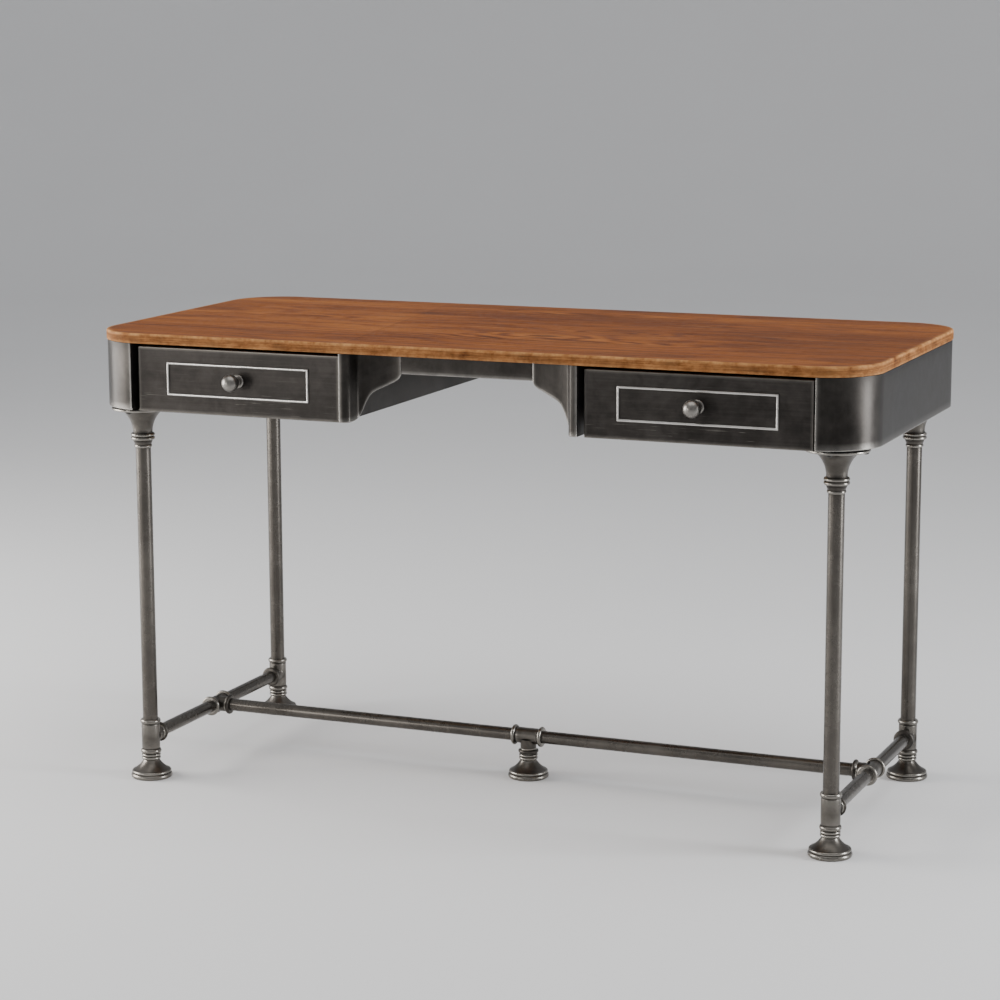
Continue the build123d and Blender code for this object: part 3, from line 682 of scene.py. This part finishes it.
def corbel():
    """Right-hand corbel, its lower edge cut to an ogee.

    In plan, from the housing: a flat, a roll turning inwards, a web, then a hollow and a long bend back.
    """
    flat, roll, turn, web, hollow, ease, ease_radius = 0.005, 0.012, 74, 0.01575, 0.012, 20, 0.1685
    s, c = math.sin(math.radians(turn)), math.cos(math.radians(turn))
    roll_centre = np.array([HOUSING_X - flat, -FACE_Y + roll])
    web_start = roll_centre + roll * np.array([-s, -c])
    web_end = web_start + web * np.array([-c, s])
    hollow_centre = web_end + hollow * np.array([-s, -c])
    outward = np.array([math.sin(math.radians(ease)), math.cos(math.radians(ease))])
    bend_start = hollow_centre + hollow * outward
    ease_centre = bend_start - ease_radius * outward
    path = joined(
        straight((CORBEL_END_X, APRON_Y), (ease_centre[0], APRON_Y), 0.003),
        bend(ease_centre, ease_radius, 90, 90 - ease, 34),
        bend(hollow_centre, hollow, 90 - ease, 90 - turn, 16),
        straight(web_end, web_start, 0.002),
        bend(roll_centre, roll, 270 - turn, 270, 22),
        straight((roll_centre[0], -FACE_Y), (HOUSING_X, -FACE_Y), 0.0015),
    )
    along, up = np.array(OGEE).T
    fine = np.linspace(1.0, -0.3, 400)
    bell = np.hanning(21)[1:-1]
    smooth = np.convolve(np.pad(np.interp(-fine, -along, up), 9, mode="edge"), bell / bell.sum(), "valid")
    edge_x = CORBEL_FOOT_X - (CORBEL_FOOT_X - CORBEL_END_X) * fine
    low = SKIRT_LOW[2] + (APRON_LOW[2] - SKIRT_LOW[2]) * np.interp(path[:, 0], edge_x, smooth)
    return strip(path, sheet_section(16), low, SKIRT_HIGH[2], 0.00012, 11)


def front_apron():
    """Apron sheet with a rounded lip turned back under it, swept along X."""
    low, high = APRON_LOW, APRON_HIGH
    lip, rise = high[1] - low[1], high[2] - low[2]
    bend_radius = 0.002
    a = np.radians(np.linspace(180, 270, 7))
    outer = np.stack([bend_radius * (1 + np.cos(a)), bend_radius * (1 + np.sin(a))], -1)
    inner = SHEET + 0.0004 * (1 + np.stack([np.cos(a[::-1]), np.sin(a[::-1])], -1))
    front = np.stack([np.zeros(6), np.linspace(rise, 0.006, 6)], -1)
    back = np.stack([np.full(6, SHEET), np.linspace(0.006, rise, 6)], -1)
    lip_end = [(lip - 0.001, 0.0), (lip - 0.0003, 0.0003), (lip, 0.001),
               (lip - 0.0003, SHEET - 0.0003), (lip - 0.001, SHEET)]
    section = np.concatenate([front, outer, lip_end, inner, back])
    middle_point = np.array([SHEET / 2, SHEET / 2])
    x = np.concatenate([[low[0]], np.linspace(low[0], high[0], 16), [high[0]]])
    share = np.ones(len(x))
    share[[0, -1]] = 0.0
    spot = middle_point + (section - middle_point) * share[:, None, None]
    grid = np.stack([
        np.broadcast_to(x[:, None], spot.shape[:2]), low[1] + spot[..., 0], low[2] + spot[..., 1]], -1)
    # Painted shade: the sheet darkens towards its top, under the board. The turned-back lip is marked as
    # rubbed wear.
    worn = np.exp(-section[:, 1] / 0.0018)
    dirt_and_shade = 0.5 * np.exp(-(rise - section[:, 1]) / 0.01)
    return Shell().add(grid, worn, dirt_and_shade, wrap_columns=True)


def drawer_front():
    """Right-hand drawer board, eased all round, facing front."""
    size = DRAWER_HIGH - DRAWER_LOW
    thick = size[1]
    # Painted shade: the board's back arris is darkened a little (0.2), and its edge faces, in the gap beside
    # the frame, more (0.35). The front arris carries rubbed wear.
    rows = [(0, 0.0, share, 0.0, 0.0) for share in (0.0, 0.5, 0.9)]
    rows += rounding(0, 0.0006, 0.0006, -90, 0, 0.2, 0.2, 3)
    rows += [(0, thick * 0.5, 1.0, 0.0, 0.35)]
    rows += rounding(0, thick - 0.0013, 0.0013, 0, 90, 0.5, 0.0, 5)
    rows += [(0.003, thick, 1.0, 0.15, 0.0), (0.006, thick, 1.0, 0.0, 0.0)]
    rows += [(0.006, thick, share, 0.0, 0.0) for share in (0.85, 0.5, 0.0)]
    centre = (DRAWER_LOW + DRAWER_HIGH) / 2
    shell = slab(size[0], size[2], 0.0015, rows, corner_steps=4, side_step=0.01)
    return shell.moved(TURN_TO_FRONT, (centre[0], DRAWER_HIGH[1], centre[2]))


def bead_frame():
    """Right-hand bead: a low half-round with a flat back, swept round a rectangle, corners just eased."""
    size = BEAD_HIGH - BEAD_LOW
    proud, width = size[1], 0.0042
    rows = []
    # Painted shadow: the bead darkens towards its foot and over its flat back (1 - sin a), where it meets
    # the drawer face. The crown carries the rubbed wear.
    for a in np.radians(np.linspace(0, 180, 15)):
        inset, height = width / 2 * (1 - math.cos(a)), proud * math.sin(a) ** 0.7
        rows.append((inset, height, 1.0, math.sin(a) ** 2, 1 - math.sin(a)))
    rows.append((width * 0.8, 0.0, 1.0, 0.0, 1.0))
    rows.append((width * 0.2, 0.0, 1.0, 0.0, 1.0))
    centre = (BEAD_LOW + BEAD_HIGH) / 2
    shell = slab(size[0], size[2], 0.0012, rows, closed=True, corner_steps=4, side_step=0.008)
    return shell.moved(TURN_TO_FRONT, (centre[0], BEAD_HIGH[1], centre[2]))


# ------------------------------------------------------------------ turned pieces
def knob():
    """Ball knob on a waisted neck over a stepped base disc, turned, facing front."""
    low, high = span("drawer_right_knob")
    line = profile(
        (0, 0), (11.5, 0), (11.5, 0.8), ((10.3, 1.9), (8.0, 2.5)), (6.5, 2.7),
        ((4.9, 7.0), (6.5, 11.4)), ((14.0, 24.0), (0, 38.0)), soften=0.25, turn=6,
    )
    line[[0, -1], 0] = 0
    centre = (low + high) / 2
    return turned(line, 72).moved(TURN_TO_FRONT, (centre[0], high[1], centre[2]))


def collar_shell():
    """Flared leg collar on its own axis: small ring, cone, two beads, trumpet, flange and boss."""
    inner = (LEG_RADIUS + FIT) / MM
    low, high = COLLAR_LOW[2] / MM, COLLAR_HIGH[2] / MM
    line = profile(
        (inner, low), (13.5, low), ((14.7, low + 2.6), (13.6, low + 5.2)), (16.4, low + 12.8),
        ((19.9, low + 15.9), (17.4, low + 18.8)), ((19.9, low + 21.7), (16.1, low + 24.6)),
        ((21.3, low + 47.1), (36.0, low + 64.5)), (49.0, low + 64.5), (50.0, low + 65.5), (50.0, low + 68.0),
        (28.0, low + 68.0), (28.0, high), (0.0, high), soften=0.3,
    )
    line[-1, 0] = 0
    socket_end = (high - 17) * MM
    cap = np.array([[0.0, socket_end], [inner * MM, socket_end]])
    return turned(np.concatenate([line, cap]), 72, closed=True)


def foot_shell():
    """Bell foot on its own axis: rim, groove, bead and a flare up to the neck."""
    line = profile(
        (0, 0), (32.6, 0), ((34.5, 3.9), (31.9, 8.0)), ((33.1, 10.6), (30.6, 13.2)),
        ((19.9, 21.2), (13.4, FOOT_TOP / MM)), (0, FOOT_TOP / MM), soften=0.3,
    )
    line[[0, -1], 0] = 0
    return turned(line, 72)


def nipple_shell():
    """Two cast beads between foot and tee, on their own axis."""
    low, high = FOOT_TOP / MM, TEE_BOTTOM / MM
    line = profile(
        (0, low + 0.05), (13.3, low + 0.05), (13.3, 30.8), ((16.0, 33.2), (13.5, 35.6)), (13.5, 36.0),
        ((16.0, 38.4), (13.3, 40.8)), (13.3, high - 0.05), (0, high - 0.05), soften=0.2,
    )
    line[[0, -1], 0] = 0
    return turned(line, 64)


def tube_line(radius, wall, length):
    """Closed section of a tube from height 0 to its length, with bevelled ends."""
    inner, bevel = radius - wall, 0.0004
    body = np.linspace(0.002, length - 0.002, TUBE_ROWS)
    outer = np.stack([np.full(TUBE_ROWS, radius), body], -1)
    back = np.stack([np.full(TUBE_ROWS, inner), body[::-1]], -1)
    far_end = [(radius - bevel, length), (inner + bevel, length)]
    near_end = [(inner + bevel, 0.0), (radius - bevel, 0.0)]
    return np.concatenate([outer, far_end, back, near_end])


def tube(radius, wall, length, marks):
    """Tube shell along Z from 0, darker near the heights where fittings grip it."""
    line = tube_line(radius, wall, length)
    segments, clear = 56, 0.003
    extra = np.array([m + d for m in marks for d in (-0.006, -0.003, -0.0015, 0.0, 0.0015, 0.003, 0.006)])
    extra = extra[(extra > clear) & (extra < length - clear)]
    outer = np.sort(np.concatenate([line[:TUBE_ROWS, 1], extra]))
    line = np.concatenate([np.stack([np.full(len(outer), radius), outer], -1), line[TUBE_ROWS:]])
    near = np.min(np.abs(line[:, 1][:, None] - np.array(marks)), axis=1)
    angle = np.linspace(0, 2 * np.pi, segments, endpoint=False)
    grid = np.stack([line[:, :1] * np.cos(angle), line[:, :1] * np.sin(angle),
                     np.broadcast_to(line[:, 1:], (len(line), segments))], -1)
    return Shell().add(grid, 0.0, 0.8 * np.exp(-near / 0.0022)[:, None], wrap_rows=True, wrap_columns=True)


def barrel_line(radius, bore, half):
    """Closed section of a tee's run: a beaded ring with a groove behind it at each end."""
    r, b, h = radius / MM, bore / MM, half / MM
    return profile(
        (b, -h), (r + 0.6, -h), ((TEE_RING, -h + 3.2), (r + 0.5, -h + 6.4)), (r - 0.5, -h + 7.2),
        (r, -h + 9.5), (r, h - 9.5),
        (r - 0.5, h - 7.2), (r + 0.5, h - 6.4), ((TEE_RING, h - 3.2), (r + 0.6, h)), (b, h),
        soften=0.25,
    )


def branch(shell, run_radius, radius, bore, length):
    """Add a branch along +X that grows out of the run with a cast flare.

    Each point starts on the run's surface, x = sqrt(R^2 - y^2), and the radius swells near it by
    e * exp(-distance / fall).
    """
    r, n = radius / MM, length / MM
    ring = profile((r, n - 20), (r, n - 9.5), (r - 0.5, n - 7.2), (r + 0.5, n - 6.4),
                   ((TEE_RING, n - 3.2), (r + 0.6, n)), soften=0.25)
    rows, segments, swelling = 11, 64, 0.0026
    share = np.concatenate([np.linspace(0, 1, rows + 1)[:-1] ** 1.6, np.ones(len(ring))])
    reach = np.concatenate([np.full(rows, ring[0, 1]), ring[:, 1]])
    size = np.concatenate([np.full(rows, ring[0, 0]), ring[:, 0]])
    angle = np.linspace(0, 2 * np.pi, segments, endpoint=False)
    flare = swelling * np.exp(-share * 5.5) * (share < 1)
    across = (size + flare)[:, None]
    y, z = across * np.cos(angle), across * np.sin(angle)
    seat = np.sqrt(np.maximum(run_radius ** 2 - y ** 2, (0.35 * run_radius) ** 2)) - 0.0006
    x = np.where(share[:, None] < 1, seat + (reach[:, None] - seat) * share[:, None], reach[:, None])
    wear, grime = bulge(np.stack([size, reach], -1))
    grime = grime + 0.8 * np.exp(-share * 7) * (share < 1)
    outer = np.stack([x, y, z], -1)
    inner_y, inner_z = bore * np.cos(angle), bore * np.sin(angle)
    inner_x = np.array([length, length - 0.004, 0.5 * run_radius])[:, None]
    inner = np.stack(np.broadcast_arrays(inner_x, inner_y, inner_z), -1)
    grid = np.concatenate([outer, inner])
    wear, grime = np.append(wear, [0.3, 0, 0]), np.append(grime, [0.4, 1, 1])
    return shell.add(grid, wear[:, None], grime[:, None], wrap_rows=True, wrap_columns=True)


def tee(run_radius, run_bore, half, length):
    """Cast tee: run along Z and a branch along +X, both ringed."""
    shell = turned(barrel_line(run_radius, run_bore, half), 72, closed=True)
    return branch(shell, run_radius, SMALL_RADIUS, RAIL_RADIUS + FIT, length)


# ------------------------------------------------------------------ put every piece in place
def put(name, shell, body, slot, *nodes, sharp=40.0):
    """Make a shell a piece with the finish of a material slot, put it in its body, and hide the CAD nodes it
    stands for.
    """
    piece = shell.make(name, sharp)
    piece.data.materials.append(FINISHES[slot].material)
    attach(piece, body)
    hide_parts(*nodes)


put("top_board", table_top(), "root", "wood_top", "table_top", sharp=60)
put("back_panel", back_skirt(), "root", "skirt", "back_skirt", sharp=60)
put("apron_sheet", front_apron(), "root", "skirt", "front_apron", sharp=60)
casting = tee(SMALL_RADIUS, RAIL_RADIUS + FIT, SMALL_RUN, RAIL_Z - span("centre_tee")[0][2])
put("centre_tee_casting", casting.moved(TURN_TO_X, (0, 0, RAIL_Z)), "root", "fitting", "centre_tee")
put("foot_bell_centre", foot_shell(), "root", "fitting", "foot_centre")
nipples = nipple_shell()
for sx, sy in CORNERS.values():
    nipples.join(nipple_shell().moved(UPRIGHT, (sx * LEG_X, sy * LEG_Y, 0)))
put("nipple_beads", nipples, "root", "fitting", "foot_nipples")

for name, side in SIDES.items():
    flip = np.diag([side, 1, 1])
    put(f"end_sheet_{name}", end_skirt().moved(flip), "root", "skirt", f"end_skirt_{name}", sharp=60)
    put(f"corbel_sheet_{name}", corbel().moved(flip), "root", "skirt", f"corbel_{name}", sharp=60)
    low, high = span(f"middle_tee_{name}")
    length = max(abs(abs(low[0]) - LEG_X), abs(abs(high[0]) - LEG_X))
    turn = about_z(180 if side > 0 else 0) @ TURN_TO_FRONT
    casting = tee(SMALL_RADIUS, RAIL_RADIUS + FIT, high[1], length)
    put(f"middle_tee_casting_{name}", casting.moved(turn, (side * LEG_X, 0, RAIL_Z)),
        "root", "fitting", f"middle_tee_{name}")
    low, high = span(f"long_stretcher_{name}")
    reach = high[0] - low[0]
    near = abs(low[0]) if side > 0 else abs(high[0])
    marks = (SMALL_RUN - near, LEG_X - length - near)
    pipe = tube(RAIL_RADIUS, RAIL_WALL, reach, marks).moved(TURN_TO_X, (near, 0, RAIL_Z)).moved(flip)
    put(f"long_pipe_{name}", pipe, "root", "pipe", f"long_stretcher_{name}")
    body = f"drawer_{name}"
    put(f"{body}_face", drawer_front().moved(flip), body, "drawer_face", f"{body}_front")
    put(f"{body}_bead", bead_frame().moved(flip), body, "bead", f"{body}_bead_frame")
    put(f"{body}_ball_knob", knob().moved(flip), body, "knob", f"{body}_knob")

for name, (sx, sy) in CORNERS.items():
    spot = (sx * LEG_X, sy * LEG_Y, 0)
    collar = collar_shell().moved(UPRIGHT, spot)
    put(f"collar_casting_{name}", collar, "root", "fitting", f"leg_collar_{name}")
    put(f"foot_bell_{name}", foot_shell().moved(UPRIGHT, spot), "root", "fitting", f"foot_{name}")
    low, high = span(f"leg_tube_{name}")
    marks = (RAIL_Z + TEE_RUN - low[2], COLLAR_LOW[2] - low[2])
    leg = tube(LEG_RADIUS, LEG_WALL, high[2] - low[2], marks).moved(UPRIGHT, (spot[0], spot[1], low[2]))
    put(f"leg_pipe_{name}", leg, "root", "pipe", f"leg_tube_{name}")
    low, high = span(f"leg_tee_{name}")
    length = max(abs(abs(low[1]) - LEG_Y), abs(abs(high[1]) - LEG_Y))
    casting = tee(LEG_TEE_RADIUS, LEG_RADIUS + FIT, TEE_RUN, length)
    put(f"leg_tee_casting_{name}", casting.moved(about_z(-90 * sy), (spot[0], spot[1], RAIL_Z)),
        "root", "fitting", f"leg_tee_{name}")
    low, high = span(f"end_stretcher_{name}")
    near = min(abs(low[1]), abs(high[1]))
    marks = (SMALL_RUN - near, LEG_Y - length - near)
    pipe = tube(RAIL_RADIUS, RAIL_WALL, high[1] - low[1], marks)
    pipe = pipe.moved(TURN_TO_BACK, (0, near, 0)).moved(np.diag([1, sy, 1]))
    pipe = pipe.moved(UPRIGHT, (sx * LEG_X, 0, RAIL_Z))
    put(f"end_pipe_{name}", pipe, "root", "pipe", f"end_stretcher_{name}")

slot_of = {entry["node"]: entry["material_slot"] for entry in frame["record"]["subparts"]}
for node, thing in frame["nodes"].items():
    thing.data.materials.clear()
    thing.data.materials.append(FINISHES[slot_of[node]].material)


# ------------------------------------------------------------------ floor, light and camera
def studio_floor():
    """Pale floor, turned about Z: flat round the desk, then curving up into a distant wall on every side."""
    flat, sweep, top, segments = 8.0, 5.0, 9.0, 96
    a = np.radians(np.linspace(0, 90, 16))
    curve = np.stack([flat + sweep * np.sin(a), sweep - sweep * np.cos(a)], -1)
    line = np.concatenate([[(0.0, 0.0)], curve, [(flat + sweep, top)]])
    floor = turned(line, segments).make("studio_floor", 80)
    paper = Finish("studio_paper", Roughness=0.75)
    shade = paper.noise((1.5, 1.5, 1.5), 2, 0.5)
    paper.feed("Base Color", paper.blend(shade, (0.77, 0.77, 0.775), (0.80, 0.80, 0.805)))
    floor.data.materials.append(paper.material)


def lamp(name, spot, target, size, power, colour):
    """Soft rectangular light that faces a target."""
    light = bpy.data.lights.new(name, "AREA")
    light.shape, light.size, light.size_y, light.energy, light.color = "RECTANGLE", *size, power, colour
    thing = bpy.data.objects.new(name, light)
    thing.location = spot
    thing.rotation_euler = (Vector(target) - Vector(spot)).to_track_quat("-Z", "Y").to_euler()
    bpy.context.scene.collection.objects.link(thing)


def camera():
    """Long-lens camera above the desk's height, from the right of the front, looking a little down."""
    data = bpy.data.cameras.new("camera")
    data.lens, data.sensor_width = 99.83, 36.0
    thing = bpy.data.objects.new("camera", data)
    thing.location = (1.6981, -4.1997, 1.29465)
    down, roll, turn = 10.26, 0.19, 22.57
    thing.rotation_euler = Euler((math.radians(90 - down), math.radians(roll), math.radians(turn)))
    bpy.context.scene.collection.objects.link(thing)
    bpy.context.scene.camera = thing


studio_floor()
lamp("left_box", (-3.2, -0.8, 1.05), (-0.2, 0.0, 0.6), (2.3, 1.8), 150, (1.0, 0.975, 0.94))
lamp("front_strip", (-2.5, -4.0, 0.95), (-0.3, 0.0, 0.6), (0.8, 1.6), 30, (1.0, 0.98, 0.95))
lamp("right_strip", (3.3, 0.35, 1.05), (0.5, -0.1, 0.6), (0.9, 1.9), 110, (0.96, 0.98, 1.0))
lamp("top_soft", (0.3, -0.6, 3.8), (0.0, 0.0, 0.0), (3.6, 2.8), 55, (1.0, 0.99, 0.97))
world = bpy.data.worlds.new("studio_air")
world.use_nodes = True
world.node_tree.nodes["Background"].inputs["Color"].default_value = (0.92, 0.93, 0.95, 1.0)
world.node_tree.nodes["Background"].inputs["Strength"].default_value = 0.60
bpy.context.scene.world = world
camera()
